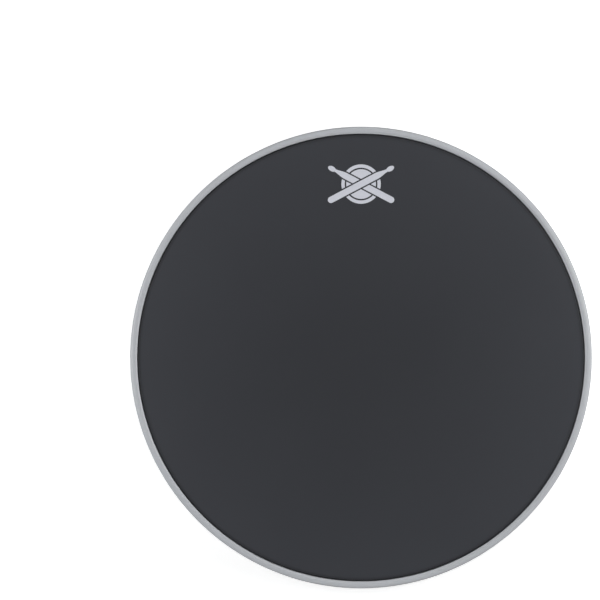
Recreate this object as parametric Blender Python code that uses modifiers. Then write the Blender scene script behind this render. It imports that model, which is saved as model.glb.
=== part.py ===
"""Double-sided practice pad, 12 inch class, lying flat with side A up.

A moulded rubber ring with an L-shaped section holds a bonded stack: a wooden core board, and on
each side of it a foam cushion and a playing surface. Side A fills the ring up to a narrow lip.
Side B is smaller, because the ring's flange frames it, and that flange is the pad's foot.
Z = 0 is the flange's flat face, and the Z axis is the pad's axis.
"""

import math

import bmesh
import bpy

# Driving dimensions, in metres.
OUTER_DIAMETER = 0.305
LIP_WIDTH = 0.0047  # the ring's wall, which shows as a narrow lip round side A
FLANGE_WIDTH = 0.0203  # the ring's flat foot, which shows as a wide band round side B
LIP_RISE = 0.0008  # how far the lip stands above side A's playing surface
FACE_RECESS = 0.0010  # how far side B's playing surface lies inside the flange

SURFACE_A = 0.0032
CUSHION_A = 0.0030
CORE = 0.0086
CUSHION_B = 0.0050
SURFACE_B = 0.0018
ADHESIVE = 0.0003
GAP = 0.0003  # between neighbouring pieces

# Rounded edges.
LIP_OUTER_ROUND = 0.0022
LIP_INNER_ROUND = 0.00025  # at the foot of the slope that leads up to the lip's crest
LIP_SLOPE = 36  # degrees
LIP_SLOPE_WIDTH = 0.0009
LIP_CREST_ROUND = 0.0010
FLANGE_OUTER_ROUND = 0.0030
FLANGE_INNER_ROUND = 0.0008
SEAT_FILLET = 0.0010  # inside the L, where the wall meets the flange
SURFACE_A_ROUND = 0.0012
SURFACE_B_ROUND = 0.0006
CORE_CHAMFER = 0.0008

CUSHION_INSET = 0.0007  # a cushion is cut a little smaller than its playing surface
ADHESIVE_INSET = 0.0015  # and an adhesive sheet a little smaller again

SEGMENTS = 96  # round each piece
MERGE = 0.00001

# Radii.
OUTER = OUTER_DIAMETER / 2
SEAT = OUTER - LIP_WIDTH  # the ring's inner wall, which the stack sits in
OPENING = OUTER - FLANGE_WIDTH  # the flange's opening, which side B shows through
WIDE = SEAT - GAP
NARROW = OPENING - GAP

# Colours, linear.
RING_GREY = (0.36, 0.39, 0.42)
CHARCOAL = (0.045, 0.045, 0.049)
BLACK_CLOTH = (0.026, 0.022, 0.029)
CORE_BROWN = (0.36, 0.23, 0.12)
FOAM_DARK = (0.050, 0.052, 0.058)
FOAM_LIGHT = (0.62, 0.60, 0.55)
FILM = (0.70, 0.66, 0.52)


def remove_everything():
    for item in list(bpy.data.objects):
        bpy.data.objects.remove(item)


def principled(name, colour, roughness, metallic=0.0):
    material = bpy.data.materials.new(name)
    material.use_nodes = True
    shader = material.node_tree.nodes["Principled BSDF"]
    shader.inputs["Base Color"].default_value = (*colour, 1.0)
    shader.inputs["Roughness"].default_value = roughness
    shader.inputs["Metallic"].default_value = metallic
    return material


def place(name, mesh, material, collection):
    piece = bpy.data.objects.new(name, mesh)
    mesh.materials.append(material)
    collection.objects.link(piece)
    return piece


def smooth_round(mesh):
    mesh.shade_smooth()
    mesh.set_sharp_from_angle(angle=math.radians(32))


def arc(centre, radius, start, end, steps):
    """Points along an arc in the (r, z) plane, from start to end in degrees."""
    points = []
    for step in range(steps + 1):
        angle = math.radians(start + (end - start) * step / steps)
        points.append((centre[0] + radius * math.cos(angle), centre[1] + radius * math.sin(angle)))
    return points


def turned(name, profile, closed, material, collection):
    """A profile of (r, z) points that runs down its outer side, turned round the Z axis."""
    mesh = bpy.data.meshes.new(name)
    count = len(profile)
    edges = [(i, i + 1) for i in range(count - 1)]
    if closed:
        edges.append((count - 1, 0))
    mesh.from_pydata([(r, 0.0, z) for r, z in profile], edges, [])
    piece = place(name, mesh, material, collection)
    screw = piece.modifiers.new("turn", "SCREW")
    screw.axis = "Z"
    screw.angle = math.tau
    screw.steps = SEGMENTS
    screw.render_steps = SEGMENTS
    screw.use_merge_vertices = True
    screw.merge_threshold = MERGE
    screw.use_smooth_shade = True
    return piece


def disc(name, radius, low, thickness, material, collection):
    """A plain sheet cut round, from its lower face up."""
    builder = bmesh.new()
    bmesh.ops.create_cone(
        builder,
        cap_ends=True,
        segments=SEGMENTS,
        radius1=radius,
        radius2=radius,
        depth=thickness,
    )
    mesh = bpy.data.meshes.new(name)
    builder.to_mesh(mesh)
    builder.free()
    smooth_round(mesh)
    piece = place(name, mesh, material, collection)
    piece.location.z = low + thickness / 2
    return piece


def lip_inside(top):
    """The lip's inner side: a slope that leads from the wall up to the crest."""
    foot = arc((0.0, 0.0), LIP_INNER_ROUND, 180, 90 + LIP_SLOPE, 2)
    crest = arc((0.0, 0.0), LIP_CREST_ROUND, 90 + LIP_SLOPE, 90, 3)
    rise = LIP_SLOPE_WIDTH * math.tan(math.radians(LIP_SLOPE))
    right = foot[-1][0] + LIP_SLOPE_WIDTH - crest[0][0]
    up = foot[-1][1] + rise - crest[0][1]
    profile = foot + [(r + right, z + up) for r, z in crest]
    low = top - profile[-1][1]
    return [(SEAT + LIP_INNER_ROUND + r, low + z) for r, z in profile]


def rim_ring(top, flange_top, material, collection):
    """The moulded ring: a thin wall round the stack, and a wide flange under its edge."""
    profile = lip_inside(top)
    profile += arc(
        (OUTER - LIP_OUTER_ROUND, top - LIP_OUTER_ROUND), LIP_OUTER_ROUND, 90, 0, 6
    )
    profile += arc(
        (OUTER - FLANGE_OUTER_ROUND, FLANGE_OUTER_ROUND), FLANGE_OUTER_ROUND, 0, -90, 6
    )
    profile += arc(
        (OPENING + FLANGE_INNER_ROUND, FLANGE_INNER_ROUND), FLANGE_INNER_ROUND, -90, -180, 3
    )
    profile.append((OPENING, flange_top))
    profile += arc(
        (SEAT - SEAT_FILLET, flange_top + SEAT_FILLET), SEAT_FILLET, -90, 0, 3
    )
    return turned("rim_ring", profile, True, material, collection)


def side_a_playing_surface(low, material, collection):
    """The large rubber face. Its top edge is rounded, just inside the lip."""
    high = low + SURFACE_A
    profile = [(0.0, high)]
    profile += arc(
        (WIDE - SURFACE_A_ROUND, high - SURFACE_A_ROUND), SURFACE_A_ROUND, 90, 0, 4
    )
    profile += [(WIDE, low), (0.0, low)]
    return turned("side_a_playing_surface", profile, False, material, collection)


def side_b_playing_surface(low, material, collection):
    """The small cloth-faced disc inside the flange. Its lower edge is rounded."""
    profile = [(0.0, low + SURFACE_B), (NARROW, low + SURFACE_B)]
    profile += arc(
        (NARROW - SURFACE_B_ROUND, low + SURFACE_B_ROUND), SURFACE_B_ROUND, 0, -90, 3
    )
    profile.append((0.0, low))
    return turned("side_b_playing_surface", profile, False, material, collection)


def core_board(low, material, collection):
    """The board that everything is bonded to, with both of its edges chamfered."""
    high = low + CORE
    profile = [
        (0.0, high),
        (WIDE - CORE_CHAMFER, high),
        (WIDE, high - CORE_CHAMFER),
        (WIDE, low + CORE_CHAMFER),
        (WIDE - CORE_CHAMFER, low),
        (0.0, low),
    ]
    return turned("core_board", profile, False, material, collection)


def rim_flange_adhesive(low, material, collection):
    """A flat washer of film between the flange and the board."""
    inner = OPENING + ADHESIVE_INSET
    outer = SEAT - ADHESIVE_INSET
    high = low + ADHESIVE
    profile = [(inner, high), (outer, high), (outer, low), (inner, low)]
    return turned("rim_flange_adhesive", profile, True, material, collection)


def build():
    remove_everything()
    pad = bpy.data.collections.new("practice_pad")
    bpy.context.scene.collection.children.link(pad)

    ring_rubber = principled("rim_rubber", RING_GREY, 0.55)
    charcoal_rubber = principled("charcoal_rubber", CHARCOAL, 0.62)
    black_cloth = principled("black_cloth", BLACK_CLOTH, 0.85)
    board = principled("core_board", CORE_BROWN, 0.80)
    foam_a = principled("side_a_foam", FOAM_DARK, 0.90)
    foam_b = principled("side_b_foam", FOAM_LIGHT, 0.95)
    film = principled("adhesive_film", FILM, 0.35)

    # From the floor up, each piece starts one gap above the one below it.
    low = FACE_RECESS
    side_b_playing_surface(low, black_cloth, pad)
    low += SURFACE_B + GAP
    disc("side_b_surface_adhesive", NARROW - ADHESIVE_INSET, low, ADHESIVE, film, pad)
    low += ADHESIVE + GAP
    disc("side_b_cushion", NARROW - CUSHION_INSET, low, CUSHION_B, foam_b, pad)
    low += CUSHION_B
    flange_top = low
    low += GAP
    disc("side_b_cushion_adhesive", NARROW - ADHESIVE_INSET, low, ADHESIVE, film, pad)
    rim_flange_adhesive(low, film, pad)
    low += ADHESIVE + GAP
    core_board(low, board, pad)
    low += CORE + GAP
    disc("side_a_cushion_adhesive", WIDE - ADHESIVE_INSET, low, ADHESIVE, film, pad)
    low += ADHESIVE + GAP
    disc("side_a_cushion", WIDE - CUSHION_INSET, low, CUSHION_A, foam_a, pad)
    low += CUSHION_A + GAP
    disc("side_a_surface_adhesive", WIDE - ADHESIVE_INSET, low, ADHESIVE, film, pad)
    low += ADHESIVE + GAP
    side_a_playing_surface(low, charcoal_rubber, pad)
    low += SURFACE_A + LIP_RISE
    rim_ring(low, flange_top, ring_rubber, pad)


build()
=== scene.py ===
"""The looks of a double-sided practice pad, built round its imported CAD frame.

The pad lies flat with side A up. Side A is a charcoal rubber disc inside a narrow grey lip, and
side B, underneath, is a smaller black cloth-faced disc inside a wide grey band. Lengths are in
metres, in the frame's own axes.
"""

import math

import bmesh
import bpy
from mathutils import Matrix, Vector
from mathutils.bvhtree import BVHTree


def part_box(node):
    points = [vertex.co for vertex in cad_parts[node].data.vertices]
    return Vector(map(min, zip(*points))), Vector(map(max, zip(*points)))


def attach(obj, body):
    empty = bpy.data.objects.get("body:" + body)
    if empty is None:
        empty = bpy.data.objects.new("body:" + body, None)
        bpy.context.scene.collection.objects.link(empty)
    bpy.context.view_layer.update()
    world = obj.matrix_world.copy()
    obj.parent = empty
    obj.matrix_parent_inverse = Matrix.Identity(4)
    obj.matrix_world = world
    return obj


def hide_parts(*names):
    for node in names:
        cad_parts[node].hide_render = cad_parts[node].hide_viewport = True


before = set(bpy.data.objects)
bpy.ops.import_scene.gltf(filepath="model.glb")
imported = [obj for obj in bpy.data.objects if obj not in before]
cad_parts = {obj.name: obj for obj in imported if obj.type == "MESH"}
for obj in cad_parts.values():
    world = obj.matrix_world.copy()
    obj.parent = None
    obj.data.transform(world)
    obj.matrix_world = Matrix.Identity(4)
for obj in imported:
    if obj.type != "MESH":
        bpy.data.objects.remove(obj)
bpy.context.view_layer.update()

# Places read from the frame.
RING_LOW, RING_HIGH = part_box("rim_ring")
FACE_A_LOW, FACE_A_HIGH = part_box("side_a_playing_surface")
FACE_B_LOW, FACE_B_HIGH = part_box("side_b_playing_surface")
CUSHION_A_LOW, CUSHION_A_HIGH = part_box("side_a_cushion")
CUSHION_B_LOW, CUSHION_B_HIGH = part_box("side_b_cushion")
GAP = 0.0003  # what the frame leaves between neighbours
OUTER = RING_HIGH.x
TOP = RING_HIGH.z
SEAT = FACE_A_HIGH.x + GAP
OPENING = FACE_B_HIGH.x + GAP
FLANGE_TOP = CUSHION_B_HIGH.z

# The ring's edges and its mould's parting line.
LIP_OUTER_ROUND = 0.0022
LIP_INNER_ROUND = 0.00025  # at the foot of the slope that leads up to the lip's crest
LIP_SLOPE = 36  # degrees
LIP_SLOPE_WIDTH = 0.0009
LIP_CREST_ROUND = 0.0010
FLANGE_OUTER_ROUND = 0.0030
FLANGE_INNER_ROUND = 0.0008
SEAT_FILLET = 0.0010
PARTING_HEIGHT = TOP / 2
PARTING_WIDTH = 0.0007
PARTING_RISE = 0.00010

FACE_A_SHORT = 0.0002  # the rubber disc is cut a little short of the ring
FACE_A_ROUND = 0.0008
FACE_B_ROUND = 0.0006

# How finely the pieces are divided.
SEGMENTS = 384  # round a hard piece
SOFT_SEGMENTS = 192  # and round a simulated one
ROUND_STEPS = 10  # along a rounded edge
FILLET_STEPS = 5
WALL_STEPS = 12  # from the parting line to each edge of the wall
FACE_A_STEPS = 16  # from a face's middle to its edge
FACE_B_STEPS = 44
FACE_B_ROUND_STEPS = 6
CUSHION_STEPS = 8  # up a cushion's cut edge
PRINT_STEPS = 12  # round a stick's butt, and along each side of its bead
TAPER_STEPS = 6
SECTOR_STEPS = 8  # along half of a slice's arc
MERGE = 0.000002
SHARP = 35  # degrees: a steeper crease than this is shaded sharp
PRINT_SHARP = 20

# The printed emblem: a round pad, ringed, with two drum sticks crossed over it.
EMBLEM_WIDTH = 0.0455
EMBLEM_HEIGHT = 0.0270
EMBLEM_A_CENTRE = Vector((0.0, 0.1145, 0.0))
EMBLEM_B_CENTRE = Vector((0.003, 0.097, 0.0))
STICK_THICKNESS = 0.0042
STICK_TAPER = 0.26  # of the stick's length
STICK_NECK = 0.42  # of its thickness, as the two below are
BEAD_LENGTH = 1.35
BEAD_WIDTH = 0.78
BEAD_ARC = 140  # degrees of the bead on each side of its point
NECK_END = 0.7  # of the bead's half length, behind its middle
EMBLEM_GAP = 0.0009  # of bare rubber between one printed shape and the next
EMBLEM_PAD_RADIUS = 0.0098
EMBLEM_RING = (0.0108, 0.0130)  # its inner and outer radius
PRINT_SUNK = 0.00002
PRINT_RISE = 0.00005

# Soft pieces.
FACE_B_CROWN = 0.0005
CUSHION_BULGE = 0.0004
CUSHION_FREE_HEIGHT = 0.95  # the share of its height that can bulge
CUSHION_HELD_RADIUS = 0.9  # the share of its radius inside which it is held
CLOTH_FRAMES = 20
CLOTH_PRESSURE = 4.0

# Colours, linear.
RIM_GREY = (0.396, 0.410, 0.433)
CHARCOAL = (0.0252, 0.0268, 0.0317)
CLOTH_BLACK = (0.026, 0.022, 0.029)
SILVER = (0.60, 0.614, 0.672)
DARK_FOAM = (0.050, 0.052, 0.058)
PALE_FOAM = (0.62, 0.60, 0.55)
BOARD_BROWN = (0.36, 0.23, 0.12)
FILM_CREAM = (0.70, 0.66, 0.52)

# The sizes of what the materials show, in metres.
RIM_CLOUD = 0.045
RIM_GRAIN = 0.00038
RIM_PIT = 0.0006
CHARCOAL_CLOUD = 0.07
CHARCOAL_GRAIN = 0.00045
CHARCOAL_PAINTED_SHEEN = (0.03, 0.16)  # how far from its middle the painted sheen starts to make the sheet paler, and stops
DUST_SPACING = 0.0035
LIP_PAINTED_SHADE = (0.0028, 0.0004)  # how far from side A's rim the painted shade of the lip starts to darken the sheet, and stops
THREAD_PITCH = 0.00055
THREAD_WANDER = 0.006
CLOTH_CLOUD = 0.05
FUZZ = 0.00016
SLUB = 0.0012
INK_MOTTLE = 0.0011
INK_FLAKE = 0.00012
FIBRE = 0.0016
WOOD_FLAKE = 0.0022
FOAM_CLOUD = 0.03
DARK_FOAM_CELL = 0.0005
PALE_FOAM_CELL = 0.0011
FILM_STREAK = 0.0025
FILM_BUBBLE = 0.004
FLOOR_CLOUD = 0.5

# The camera looks straight down on side A, with the pad to the right of the middle and below it.
LENS = 100.0
SENSOR = 36.0
VIEW_WIDTH = 0.3956  # across the frame, at the height of the lip
CAMERA_PLACE = Vector((-0.0403, 0.0380, 0.0))

# The studio: two big low lamps at the sides, weaker ones beyond and before the pad, and one that
# lights side B from under the table.
SKY = 0.25
WHITE = (1.0, 1.0, 1.0)
LAMPS = (
    ("left", (-0.85, 0.05, 0.45), 0.75, 6.2, WHITE),
    ("right", (0.85, 0.12, 0.45), 0.75, 7.3, WHITE),
    ("far", (0.25, 0.95, 0.90), 0.9, 4.2, WHITE),
    ("near", (0.0, -0.85, 0.36), 0.7, 1.7, WHITE),
    ("under", (0.0, -0.1, -1.6), 0.8, 14.0, (0.92, 0.99, 1.02)),
)

# The floor, which curves up into a wall all round.
FLOOR_DROP = 0.0002  # it lies this far under the pad's foot
FLOOR_GLOW = (0.35, 0.90)  # near the pad and far from it
GLOW_REACH = (0.5, 1.4)  # how far from the pad's axis it starts to rise, and stops
FLOOR_ROUGHNESS = 0.9
COVE_START = 3.0
COVE_ROUND = 1.5
COVE_HEIGHT = 5.0


def arc(centre, radius, start, end, steps=ROUND_STEPS):
    """Points along an arc in the (r, z) plane, from start to end in degrees."""
    points = []
    for step in range(steps + 1):
        angle = math.radians(start + (end - start) * step / steps)
        points.append((centre[0] + radius * math.cos(angle), centre[1] + radius * math.sin(angle)))
    return points


def span(start, end, steps):
    """Points along a straight run in the (r, z) plane, without its two ends."""
    points = []
    for step in range(1, steps):
        share = step / steps
        points.append(
            (start[0] + (end[0] - start[0]) * share, start[1] + (end[1] - start[1]) * share)
        )
    return points


def settle(piece, sharp=SHARP):
    """Turns the piece's modifiers into its mesh and shades it smooth but for its sharp edges."""
    shape = bpy.data.meshes.new_from_object(
        piece.evaluated_get(bpy.context.evaluated_depsgraph_get())
    )
    piece.modifiers.clear()
    piece.data = shape
    shape.name = piece.name
    shape.shade_smooth()
    shape.set_sharp_from_angle(angle=math.radians(sharp))
    return piece


def turned(name, profile, closed, segments=SEGMENTS):
    """A profile of (r, z) points that runs down its outer side, turned round the pad's axis."""
    mesh = bpy.data.meshes.new(name)
    edges = [(i, i + 1) for i in range(len(profile) - 1)]
    if closed:
        edges.append((len(profile) - 1, 0))
    mesh.from_pydata([(r, 0.0, z) for r, z in profile], edges, [])
    piece = bpy.data.objects.new(name, mesh)
    bpy.context.scene.collection.objects.link(piece)
    screw = piece.modifiers.new("turn", "SCREW")
    screw.axis = "Z"
    screw.angle = math.tau
    screw.steps = segments
    screw.render_steps = segments
    screw.use_merge_vertices = True
    screw.merge_threshold = MERGE
    return settle(piece)


# Materials


class Graph:
    """A material's node tree, with short calls that add nodes and join them."""

    def __init__(self, name):
        self.material = bpy.data.materials.new(name)
        self.material.use_nodes = True
        self.tree = self.material.node_tree
        self.shader = self.tree.nodes["Principled BSDF"]

    def node(self, kind, **settings):
        made = self.tree.nodes.new(kind)
        for key, value in settings.items():
            setattr(made, key, value)
        return made

    def feed(self, socket, value):
        """Sets a socket to a value, or joins another node's output to it."""
        if isinstance(value, bpy.types.NodeSocket):
            self.tree.links.new(value, socket)
        else:
            socket.default_value = value

    def math(self, operation, *values):
        made = self.node("ShaderNodeMath", operation=operation)
        for socket, value in zip(made.inputs, values):
            self.feed(socket, value)
        return made.outputs["Value"]

    def place(self):
        """The point on the surface, in the frame's metres."""
        return self.node("ShaderNodeTexCoord").outputs["Object"]

    def parts(self, vector):
        made = self.node("ShaderNodeSeparateXYZ")
        self.feed(made.inputs["Vector"], vector)
        return made.outputs["X"], made.outputs["Y"], made.outputs["Z"]

    def radius(self):
        """How far the point is from the pad's axis."""
        flat = self.node("ShaderNodeVectorMath", operation="MULTIPLY")
        self.feed(flat.inputs[0], self.place())
        self.feed(flat.inputs[1], (1.0, 1.0, 0.0))
        made = self.node("ShaderNodeVectorMath", operation="LENGTH")
        self.feed(made.inputs[0], flat.outputs["Vector"])
        return made.outputs["Value"]

    def noise(self, grain, detail=2.0, roughness=0.5, vector=None):
        """Noise whose lumps are about grain across."""
        made = self.node("ShaderNodeTexNoise")
        self.feed(made.inputs["Vector"], vector or self.place())
        self.feed(made.inputs["Scale"], 1 / grain)
        self.feed(made.inputs["Detail"], detail)
        self.feed(made.inputs["Roughness"], roughness)
        return made.outputs["Fac"]

    def cells(self, grain):
        """The distance from the nearest of many scattered points about grain apart."""
        made = self.node("ShaderNodeTexVoronoi")
        self.feed(made.inputs["Vector"], self.place())
        self.feed(made.inputs["Scale"], 1 / grain)
        return made.outputs["Distance"]

    def spread(self, value, low, high, start=0.0, end=1.0):
        """Maps value from low..high to start..end, held at the ends."""
        made = self.node("ShaderNodeMapRange", clamp=True)
        for key, number in (
            ("Value", value),
            ("From Min", low),
            ("From Max", high),
            ("To Min", start),
            ("To Max", end),
        ):
            self.feed(made.inputs[key], number)
        return made.outputs["Result"]

    def blend(self, share, first, second):
        """A colour between first and second."""
        made = self.node("ShaderNodeMix", data_type="RGBA")
        colours = [socket for socket in made.inputs if socket.type == "RGBA"]
        self.feed(made.inputs["Factor"], share)
        for socket, colour in zip(colours, (first, second)):
            self.feed(socket, (*colour, 1.0) if isinstance(colour, tuple) else colour)
        return [socket for socket in made.outputs if socket.type == "RGBA"][0]

    def bump(self, height, distance, strength=1.0, normal=None):
        made = self.node("ShaderNodeBump")
        self.feed(made.inputs["Height"], height)
        self.feed(made.inputs["Distance"], distance)
        self.feed(made.inputs["Strength"], strength)
        if normal is not None:
            self.feed(made.inputs["Normal"], normal)
        return made.outputs["Normal"]

    def finish(self, **sockets):
        for key, value in sockets.items():
            self.feed(self.shader.inputs[key.replace("_", " ")], value)
        return self.material


def shade(colour, factor):
    return tuple(channel * factor for channel in colour)


def moulded_rubber(name, colour):
    """Satin moulded rubber: a fine spark-eroded grain and faint clouds."""
    graph = Graph(name)
    clouds = graph.noise(RIM_CLOUD, 3.0)
    grain = graph.noise(RIM_GRAIN, 3.0, 0.6)
    pits = graph.cells(RIM_PIT)
    tint = graph.blend(clouds, shade(colour, 0.955), shade(colour, 1.035))
    speck = graph.spread(grain, 0.35, 0.70)
    mottled = graph.blend(speck, shade(colour, 0.94), shade(colour, 1.05))
    base = graph.blend(0.5, tint, mottled)
    rough = graph.spread(graph.math("ADD", clouds, grain), 0.6, 1.4, 0.38, 0.50)
    coarse = graph.bump(pits, 0.00003, 0.5)
    normal = graph.bump(grain, 0.00004, 0.6, coarse)
    return graph.finish(Base_Color=base, Roughness=rough, Normal=normal)


def smooth_rubber(name, colour):
    """Matte rubber sheet with a very fine grain, with painted shade at its cut edge by the lip and
    a painted sheen that leaves it darker towards its middle.
    """
    graph = Graph(name)
    clouds = graph.noise(CHARCOAL_CLOUD, 2.0)
    grain = graph.noise(CHARCOAL_GRAIN, 4.0, 0.65)
    dust = graph.spread(graph.cells(DUST_SPACING), 0.00, 0.045, 1.0, 0.0)
    # Painted sheen: the colour grows paler from the sheet's middle towards its rim, along a
    # slightly wavering line.
    drift = graph.math("MULTIPLY", clouds, 0.03)
    radius = graph.radius()
    reach = graph.spread(graph.math("ADD", radius, drift), *CHARCOAL_PAINTED_SHEEN)
    ease = graph.math("POWER", reach, 1.5)
    tint = graph.blend(ease, shade(colour, 0.92), shade(colour, 1.35))
    grained = graph.blend(graph.spread(grain, 0.3, 0.7), shade(colour, 0.88), shade(colour, 1.18))
    base = graph.blend(0.3, tint, grained)
    # Painted shade: the sheet darkens towards its cut edge, where the lip's shadow falls.
    edge = graph.spread(radius, FACE_A_HIGH.x - LIP_PAINTED_SHADE[0], FACE_A_HIGH.x - LIP_PAINTED_SHADE[1])
    with_painted_lip_shade = graph.blend(edge, base, shade(colour, 0.55))
    specked = graph.blend(graph.math("MULTIPLY", dust, 0.25), with_painted_lip_shade, shade(colour, 2.2))
    rough = graph.spread(graph.math("ADD", clouds, grain), 0.6, 1.4, 0.50, 0.60)
    normal = graph.bump(grain, 0.00003, 0.7)
    return graph.finish(
        Base_Color=specked, Roughness=rough, Normal=normal, Specular_IOR_Level=0.25
    )


def thread_wave(graph, coordinate, shift):
    """A wave along one coordinate, with half a turn to each thread."""
    moved = graph.math("ADD", coordinate, shift)
    return graph.math("SINE", graph.math("MULTIPLY", moved, math.pi / THREAD_PITCH))


def woven_cloth(name, colour):
    """A tight plain weave of matte yarn, whose threads wander a little, with pale slubs in it."""
    graph = Graph(name)
    wander = graph.noise(THREAD_WANDER, 2.0)
    x, y, _ = graph.parts(graph.place())
    shift = graph.math("MULTIPLY", wander, THREAD_PITCH * 0.9)
    across = thread_wave(graph, x, shift)
    along = thread_wave(graph, y, shift)
    crossing = graph.math("MULTIPLY", across, along)
    # Each thread is a rounded ridge that rises over one neighbour and dips under the next.
    warp = graph.math(
        "MULTIPLY", graph.math("ABSOLUTE", across), graph.spread(crossing, -1.0, 1.0)
    )
    weft = graph.math(
        "MULTIPLY", graph.math("ABSOLUTE", along), graph.spread(crossing, 1.0, -1.0)
    )
    threads = graph.math("MAXIMUM", warp, weft)
    fuzz = graph.noise(FUZZ, 3.0, 0.7)
    clouds = graph.noise(CLOTH_CLOUD, 3.0)
    height = graph.math("ADD", threads, graph.math("MULTIPLY", fuzz, 0.35))
    # Painted shade in the weave's dips and painted light on its ridges: the threads are darker
    # where they sink and lighter where they rise.
    weave_painted_shade = graph.blend(clouds, shade(colour, 0.55), shade(colour, 0.66))
    weave_painted_light = graph.blend(clouds, shade(colour, 1.15), shade(colour, 1.38))
    base = graph.blend(graph.spread(height, 0.15, 1.15), weave_painted_shade, weave_painted_light)
    slub = graph.spread(graph.noise(SLUB, 2.0), 0.57, 0.73, 0.0, 0.8)
    flecked = graph.blend(slub, base, shade(colour, 2.2))
    normal = graph.bump(height, 0.00012, 0.8)
    return graph.finish(
        Base_Color=flecked,
        Roughness=graph.spread(fuzz, 0.2, 0.8, 0.80, 0.95),
        Normal=normal,
        Sheen_Weight=0.25,
        Sheen_Roughness=0.5,
        Specular_IOR_Level=0.25,
    )


def silver_print(name, colour):
    """A screen print in silver ink, slightly mottled by the surface under it, with painted glints
    on its flakes.
    """
    graph = Graph(name)
    mottle = graph.noise(INK_MOTTLE, 3.0, 0.6)
    flake = graph.noise(INK_FLAKE, 2.0)
    base = graph.blend(mottle, shade(colour, 0.93), shade(colour, 1.05))
    # Painted glints: the ink's flakes show as lighter specks in its colour.
    ink_with_painted_glints = graph.blend(graph.spread(flake, 0.58, 0.72, 0.0, 0.5), base, shade(colour, 1.25))
    rough = graph.spread(mottle, 0.3, 0.7, 0.36, 0.50)
    normal = graph.bump(flake, 0.00001, 0.5)
    return graph.finish(Base_Color=ink_with_painted_glints, Roughness=rough, Normal=normal, Metallic=0.25)


def fibreboard(name, colour):
    """Pressed wood fibre: pale and dark fibres lying every way, with a hard smooth skin."""
    graph = Graph(name)
    fibres = graph.noise(FIBRE, 6.0, 0.75)
    flakes = graph.cells(WOOD_FLAKE)
    base = graph.blend(graph.spread(fibres, 0.3, 0.7), shade(colour, 0.72), shade(colour, 1.25))
    chips = graph.blend(graph.spread(flakes, 0.0, 0.5, 0.3, 0.0), base, shade(colour, 0.5))
    normal = graph.bump(fibres, 0.00008, 0.6)
    return graph.finish(
        Base_Color=chips, Roughness=graph.spread(fibres, 0.3, 0.7, 0.72, 0.86), Normal=normal
    )


def foam(name, colour, cell):
    """Cut foam: open cells of about the given size, with painted shade in their hollows."""
    graph = Graph(name)
    holes = graph.cells(cell)
    clouds = graph.noise(FOAM_CLOUD, 2.0)
    walls = graph.spread(holes, 0.15, 0.60)
    # Painted shade: each cell's hollow is darker than its walls.
    base = graph.blend(walls, shade(colour, 0.45), shade(colour, 1.10))
    tinted = graph.blend(graph.math("MULTIPLY", clouds, 0.4), base, shade(colour, 0.9))
    normal = graph.bump(walls, cell * 0.4, 0.9)
    return graph.finish(
        Base_Color=tinted, Roughness=graph.spread(walls, 0.0, 1.0, 0.98, 0.88), Normal=normal
    )


def adhesive_film(name, colour):
    """Thin adhesive sheet, slightly streaked along its roll."""
    graph = Graph(name)
    stretch = graph.node("ShaderNodeMapping")
    graph.feed(stretch.inputs["Vector"], graph.place())
    graph.feed(stretch.inputs["Scale"], (1.0, 0.08, 1.0))
    streaks = graph.noise(FILM_STREAK, 3.0, vector=stretch.outputs["Vector"])
    bubbles = graph.cells(FILM_BUBBLE)
    base = graph.blend(streaks, shade(colour, 0.86), shade(colour, 1.08))
    dotted = graph.blend(graph.spread(bubbles, 0.0, 0.12, 0.35, 0.0), base, shade(colour, 1.3))
    rough = graph.spread(streaks, 0.3, 0.7, 0.28, 0.46)
    normal = graph.bump(streaks, 0.00004, 0.4)
    return graph.finish(Base_Color=dotted, Roughness=rough, Normal=normal)


def studio_floor(name):
    """A plain white table that glows a little, and more so further off.

    It is seen from above only, so that side B can be looked at from below.
    """
    graph = Graph(name)
    output = graph.tree.nodes["Material Output"]
    tone = graph.blend(graph.noise(FLOOR_CLOUD, 1.0), (0.93, 0.93, 0.93), (0.95, 0.95, 0.95))
    glow = graph.spread(graph.radius(), *GLOW_REACH, *FLOOR_GLOW)
    graph.finish(
        Base_Color=tone,
        Roughness=FLOOR_ROUGHNESS,
        Emission_Color=(*WHITE, 1.0),
        Emission_Strength=glow,
    )
    under = graph.node("ShaderNodeNewGeometry").outputs["Backfacing"]
    choice = graph.node("ShaderNodeMixShader")
    graph.feed(choice.inputs["Fac"], under)
    graph.feed(choice.inputs[1], graph.shader.outputs["BSDF"])
    graph.feed(choice.inputs[2], graph.node("ShaderNodeBsdfTransparent").outputs["BSDF"])
    graph.feed(output.inputs["Surface"], choice.outputs["Shader"])
    return graph.material


# Pieces


def dress(piece, material, slot, *nodes):
    """Gives a new piece its material and its body, and hides the CAD nodes it stands for; slot is
    not used.
    """
    piece.data.materials.clear()
    piece.data.materials.append(material)
    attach(piece, "root")
    if nodes:
        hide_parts(*nodes)
    return piece


def lip_inside():
    """The lip's inner side: a slope that leads from the wall up to the crest."""
    foot = arc((0.0, 0.0), LIP_INNER_ROUND, 180, 90 + LIP_SLOPE)
    crest = arc((0.0, 0.0), LIP_CREST_ROUND, 90 + LIP_SLOPE, 90)
    rise = LIP_SLOPE_WIDTH * math.tan(math.radians(LIP_SLOPE))
    right = foot[-1][0] + LIP_SLOPE_WIDTH - crest[0][0]
    up = foot[-1][1] + rise - crest[0][1]
    profile = foot + [(r + right, z + up) for r, z in crest]
    low = TOP - profile[-1][1]
    return [(SEAT + LIP_INNER_ROUND + r, low + z) for r, z in profile]


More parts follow.
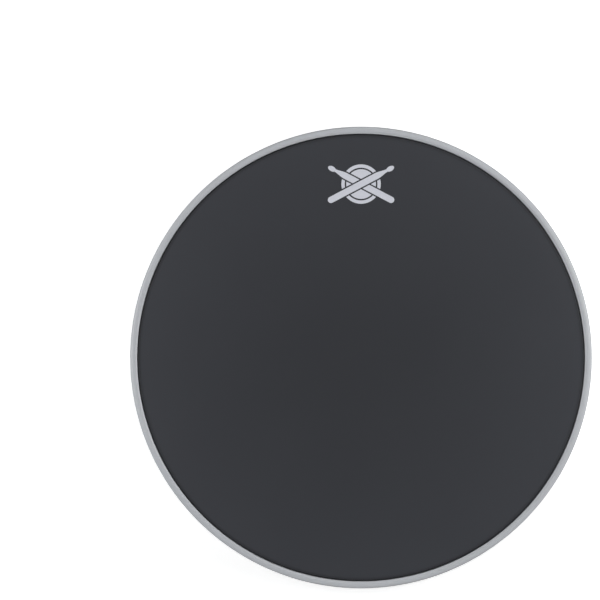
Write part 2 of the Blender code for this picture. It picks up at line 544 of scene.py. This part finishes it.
def rim_ring():
    """The moulded ring, with the fine line that its two mould halves left round its wall."""
    profile = lip_inside()
    profile += arc((OUTER - LIP_OUTER_ROUND, TOP - LIP_OUTER_ROUND), LIP_OUTER_ROUND, 90, 0)
    half = PARTING_WIDTH / 2
    above, below = (OUTER, PARTING_HEIGHT + half), (OUTER, PARTING_HEIGHT - half)
    profile += span(profile[-1], above, WALL_STEPS) + [above]
    for share in (0.5, 0.0, -0.5):
        rise = PARTING_RISE * (1 - share * share)
        profile.append((OUTER + rise, PARTING_HEIGHT + half * share))
    profile.append(below)
    foot = arc((OUTER - FLANGE_OUTER_ROUND, FLANGE_OUTER_ROUND), FLANGE_OUTER_ROUND, 0, -90)
    profile += span(below, foot[0], WALL_STEPS) + foot
    profile += arc(
        (OPENING + FLANGE_INNER_ROUND, FLANGE_INNER_ROUND), FLANGE_INNER_ROUND, -90, -180
    )
    profile.append((OPENING, FLANGE_TOP))
    fillet = (SEAT - SEAT_FILLET, FLANGE_TOP + SEAT_FILLET)
    profile += arc(fillet, SEAT_FILLET, -90, 0, FILLET_STEPS)
    return turned("moulded_rim_ring", profile, True)


def side_a_face():
    """The rubber disc of side A, flat to its rounded edge."""
    high, low = FACE_A_HIGH.z, FACE_A_LOW.z
    edge = FACE_A_HIGH.x - FACE_A_SHORT
    flat = (edge - FACE_A_ROUND, high)
    profile = [(0.0, high)] + span((0.0, high), flat, FACE_A_STEPS)
    profile += arc((edge - FACE_A_ROUND, high - FACE_A_ROUND), FACE_A_ROUND, 90, 0)
    profile += [(edge, low), (0.0, low)]
    return turned("side_a_rubber_face", profile, False)


def swell(piece, free, cap, direction=None):
    """Blows a closed piece up as cloth where free(place) is true, and holds the rest still.

    No point moves further than cap. With a direction, only the movement along it is kept.
    """
    start = [vertex.co.copy() for vertex in piece.data.vertices]
    held = piece.vertex_groups.new(name="held")
    held.add([i for i, place in enumerate(start) if not free(place)], 1.0, "REPLACE")
    cloth = piece.modifiers.new("cloth", "CLOTH")
    cloth.settings.vertex_group_mass = "held"
    cloth.settings.use_pressure = True
    cloth.settings.uniform_pressure_force = CLOTH_PRESSURE
    cloth.settings.effector_weights.gravity = 0.0
    scene = bpy.context.scene
    for number in range(1, CLOTH_FRAMES + 1):
        scene.frame_set(number)
    settle(piece)
    piece.vertex_groups.clear()
    scene.frame_set(1)
    moves = [vertex.co - place for vertex, place in zip(piece.data.vertices, start)]
    if direction is not None:
        moves = [direction * move.dot(direction) for move in moves]
    furthest = max(move.length for move in moves)
    share = cap / furthest if furthest > cap else 1.0
    for vertex, place, move in zip(piece.data.vertices, start, moves):
        vertex.co = place + move * share
    return piece


def side_b_face():
    """The cloth-faced disc of side B, crowned a little over its foam, with a soft rolled edge."""
    high, low, edge = FACE_B_HIGH.z, FACE_B_LOW.z, FACE_B_HIGH.x
    flat = (edge - FACE_B_ROUND, low)
    profile = [(0.0, high), (edge, high)]
    rim = (edge - FACE_B_ROUND, low + FACE_B_ROUND)
    profile += arc(rim, FACE_B_ROUND, 0, -90, FACE_B_ROUND_STEPS)
    profile += span(flat, (0.0, low), FACE_B_STEPS) + [(0.0, low)]
    piece = turned("side_b_cloth_face", profile, False, SOFT_SEGMENTS)
    limit = edge - FACE_B_ROUND
    return swell(
        piece,
        lambda place: place.z < low + FACE_B_ROUND / 4 and place.xy.length < limit,
        FACE_B_CROWN,
        Vector((0.0, 0.0, -1.0)),
    )


def cushion(name, low, high):
    """A foam disc bonded on both faces, so that only its cut edge bulges."""
    middle = (low.z + high.z) / 2
    radius = high.x
    profile = [(0.0, high.z), (radius * 0.5, high.z), (radius, high.z)]
    profile += span((radius, high.z), (radius, low.z), CUSHION_STEPS)
    profile += [(radius, low.z), (radius * 0.5, low.z), (0.0, low.z)]
    piece = turned(name, profile, False, SOFT_SEGMENTS)
    half = (high.z - low.z) / 2 * CUSHION_FREE_HEIGHT
    held = radius * CUSHION_HELD_RADIUS
    return swell(
        piece,
        lambda place: abs(place.z - middle) < half and place.xy.length > held,
        CUSHION_BULGE,
    )


def stick_outline(length, thickness):
    """One drum stick lying along X, as the points round its outline: round butt, taper and tip."""
    half = thickness / 2
    neck = half * STICK_NECK
    bead_long, bead_wide = half * BEAD_LENGTH, half * BEAD_WIDTH
    butt = -length / 2 + half
    shoulder = length / 2 - length * STICK_TAPER
    bead = length / 2 - bead_long
    points = []
    for step in range(PRINT_STEPS + 1):
        angle = math.radians(90 + 180 * step / PRINT_STEPS)
        points.append((butt + half * math.cos(angle), half * math.sin(angle)))
    lower = [(shoulder, -half)]
    taper = bead - bead_long * NECK_END - shoulder
    for step in range(1, TAPER_STEPS + 1):
        share = step / TAPER_STEPS
        ease = share * share * (3 - 2 * share)
        lower.append((shoulder + taper * share, -half + (half - neck) * ease))
    for step in range(PRINT_STEPS + 1):
        angle = math.radians(-BEAD_ARC + BEAD_ARC * step / PRINT_STEPS)
        lower.append((bead + bead_long * math.cos(angle), bead_wide * math.sin(angle)))
    upper = [(x, -y) for x, y in reversed(lower[:-1])]
    return points + lower + upper


def sector(middle, spread, reach, outer, inner=None):
    """A slice of the emblem's pad, or of its ring, between the two sticks.

    The slice points along the angle middle, and each stick lies spread away from that and keeps a
    strip of the width reach clear on either side of its axis.
    """
    half = spread - math.asin(reach / outer)
    steps = range(-SECTOR_STEPS, SECTOR_STEPS + 1)
    points = [(outer, half * step / SECTOR_STEPS) for step in steps]
    if inner is None:
        points.append((reach / math.sin(spread), 0.0))
    else:
        half = spread - math.asin(reach / inner)
        points += [(inner, half * step / SECTOR_STEPS) for step in reversed(steps)]
    return [(r * math.cos(middle + a), r * math.sin(middle + a)) for r, a in points]


def emblem(name, centre):
    """The printed emblem as flat shapes in one mesh, round the given centre."""
    wide, high = EMBLEM_WIDTH - STICK_THICKNESS / 2, EMBLEM_HEIGHT - STICK_THICKNESS
    tilt, length = math.atan2(high, wide), math.hypot(high, wide)
    reach = STICK_THICKNESS / 2 + EMBLEM_GAP
    builder = bmesh.new()
    for angle in (tilt, math.pi - tilt):
        turn = Matrix.Rotation(angle, 3, "Z")
        corners = [
            builder.verts.new(turn @ Vector((x, y, 0.0)))
            for x, y in stick_outline(length, STICK_THICKNESS)
        ]
        stick = builder.faces.new(corners)
    clear_crossing(builder, stick, tilt)
    for quarter in range(4):
        spread = tilt if quarter % 2 == 0 else math.pi / 2 - tilt
        middle = math.pi / 2 * quarter
        for shape in (
            sector(middle, spread, reach, EMBLEM_PAD_RADIUS),
            sector(middle, spread, reach, EMBLEM_RING[1], EMBLEM_RING[0]),
        ):
            builder.faces.new([builder.verts.new((x, y, 0.0)) for x, y in shape])
    bmesh.ops.translate(builder, verts=builder.verts, vec=centre)
    mesh = bpy.data.meshes.new(name)
    builder.to_mesh(mesh)
    builder.free()
    piece = bpy.data.objects.new(name, mesh)
    bpy.context.scene.collection.objects.link(piece)
    return piece


def clear_crossing(builder, stick, tilt):
    """Takes out the stretch of the lower stick where the upper one passes over it."""
    normal = Vector((-math.sin(tilt), math.cos(tilt), 0.0))
    reach = STICK_THICKNESS / 2 + EMBLEM_GAP
    faces = [stick]
    for side in (1, -1):
        edges = {edge for face in faces for edge in face.edges}
        corners = {vertex for face in faces for vertex in face.verts}
        cut = bmesh.ops.bisect_plane(
            builder,
            geom=[*faces, *edges, *corners],
            plane_co=normal * (reach * side),
            plane_no=normal,
        )
        faces = [item for item in cut["geom"] if isinstance(item, bmesh.types.BMFace)]
    middle = [face for face in faces if abs(face.calc_center_median().dot(normal)) < reach / 2]
    bmesh.ops.delete(builder, geom=middle, context="FACES")


def print_on(piece, surface, up):
    """Lays a flat outline on a surface and gives it the ink's thickness."""
    tree = BVHTree.FromObject(surface, bpy.context.evaluated_depsgraph_get())
    builder = bmesh.new()
    builder.from_mesh(piece.data)
    bmesh.ops.triangulate(builder, faces=builder.faces)
    away = Vector((0.0, 0.0, up))
    for vertex in builder.verts:
        found, *_ = tree.ray_cast(vertex.co + away, -away)
        vertex.co.z = found.z - up * PRINT_SUNK
    for face in builder.faces:
        if face.normal.z * up < 0:
            face.normal_flip()
    builder.to_mesh(piece.data)
    builder.free()
    thick = piece.modifiers.new("ink", "SOLIDIFY")
    thick.thickness = PRINT_SUNK + PRINT_RISE
    thick.offset = 1.0
    return settle(piece, PRINT_SHARP)


def build_pieces():
    """The pieces that stand for the frame's visible and soft nodes, and the printed emblems."""
    grey = moulded_rubber("rim_rubber_grey", RIM_GREY)
    charcoal = smooth_rubber("charcoal_rubber_sheet", CHARCOAL)
    cloth = woven_cloth("black_woven_cloth", CLOTH_BLACK)
    ink = silver_print("silver_ink", SILVER)
    dark_foam = foam("dense_dark_foam", DARK_FOAM, DARK_FOAM_CELL)
    pale_foam = foam("soft_pale_foam", PALE_FOAM, PALE_FOAM_CELL)

    dress(rim_ring(), grey, "rim_rubber", "rim_ring")
    face_a = dress(side_a_face(), charcoal, "charcoal_rubber", "side_a_playing_surface")
    face_b = dress(side_b_face(), cloth, "black_cloth", "side_b_playing_surface")

    for name, node, low, high, material, slot in (
        ("side_a_foam", "side_a_cushion", CUSHION_A_LOW, CUSHION_A_HIGH, dark_foam, "side_a_foam"),
        ("side_b_foam", "side_b_cushion", CUSHION_B_LOW, CUSHION_B_HIGH, pale_foam, "side_b_foam"),
    ):
        piece = dress(cushion(name, low, high), material, slot, node)

    for name, centre, surface, up in (
        ("side_a_emblem", EMBLEM_A_CENTRE, face_a, 1),
        ("side_b_emblem", EMBLEM_B_CENTRE, face_b, -1),
    ):
        piece = print_on(emblem(name, centre), surface, up)
        # There is no slot for ink, so the emblems are passed the ring's slot name.
        dress(piece, ink, "rim_rubber")


def dress_nodes():
    """The CAD nodes that stay: the board and the adhesive sheets, which lie inside the pad."""
    board = fibreboard("pressed_fibreboard", BOARD_BROWN)
    film = adhesive_film("clear_adhesive_film", FILM_CREAM)
    for name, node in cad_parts.items():
        if name == "core_board" or name.endswith("adhesive"):
            material = board if name == "core_board" else film
            for slot in node.material_slots:
                slot.material = material


# The studio


def area_light(name, place, size, power, colour):
    """A round lamp without a visible disc, turned towards the pad."""
    light = bpy.data.lights.new(name, "AREA")
    light.shape = "DISK"
    light.size = size
    light.energy = power
    light.color = colour
    lamp = bpy.data.objects.new(name, light)
    bpy.context.scene.collection.objects.link(lamp)
    lamp.location = place
    lamp.rotation_euler = (-lamp.location).to_track_quat("-Z", "Y").to_euler()
    lamp.visible_camera = False


def floor_piece(name, profile, material):
    """A part of the floor, which belongs to the studio and throws no light on the pad."""
    piece = turned(name, profile, False)
    piece.location.z = RING_LOW.z - FLOOR_DROP
    piece.data.materials.append(material)
    piece.visible_diffuse = False
    piece.visible_glossy = False
    return piece


def studio():
    """A pale sky, the lamps and the floor."""
    scene = bpy.context.scene
    world = bpy.data.worlds.new("studio")
    world.use_nodes = True
    sky = world.node_tree.nodes["Background"]
    sky.inputs["Color"].default_value = (*WHITE, 1.0)
    sky.inputs["Strength"].default_value = SKY
    scene.world = world
    scene.view_settings.view_transform = "Standard"
    for name, place, size, power, colour in LAMPS:
        area_light(name, place, size, power, colour)

    foot = OUTER - FLANGE_OUTER_ROUND
    cove = [(foot, 0.0), (COVE_START, 0.0)]
    cove += arc((COVE_START, COVE_ROUND), COVE_ROUND, -90, 0)[1:]
    cove.append((COVE_START + COVE_ROUND, COVE_HEIGHT))
    white = studio_floor("floor_white")
    floor_piece("floor", cove, white)
    # The lamp under the table reaches side B through this part of it.
    floor_piece("floor_under_pad", [(0.0, 0.0), (foot, 0.0)], white).visible_shadow = False


def camera():
    """A long lens high over side A."""
    data = bpy.data.cameras.new("camera")
    data.lens = LENS
    data.sensor_width = SENSOR
    lens = bpy.data.objects.new("camera", data)
    bpy.context.scene.collection.objects.link(lens)
    distance = VIEW_WIDTH * LENS / SENSOR
    lens.location = CAMERA_PLACE + Vector((0.0, 0.0, TOP + distance))
    bpy.context.scene.camera = lens


build_pieces()
dress_nodes()
studio()
camera()

bpy.context.view_layer.update()
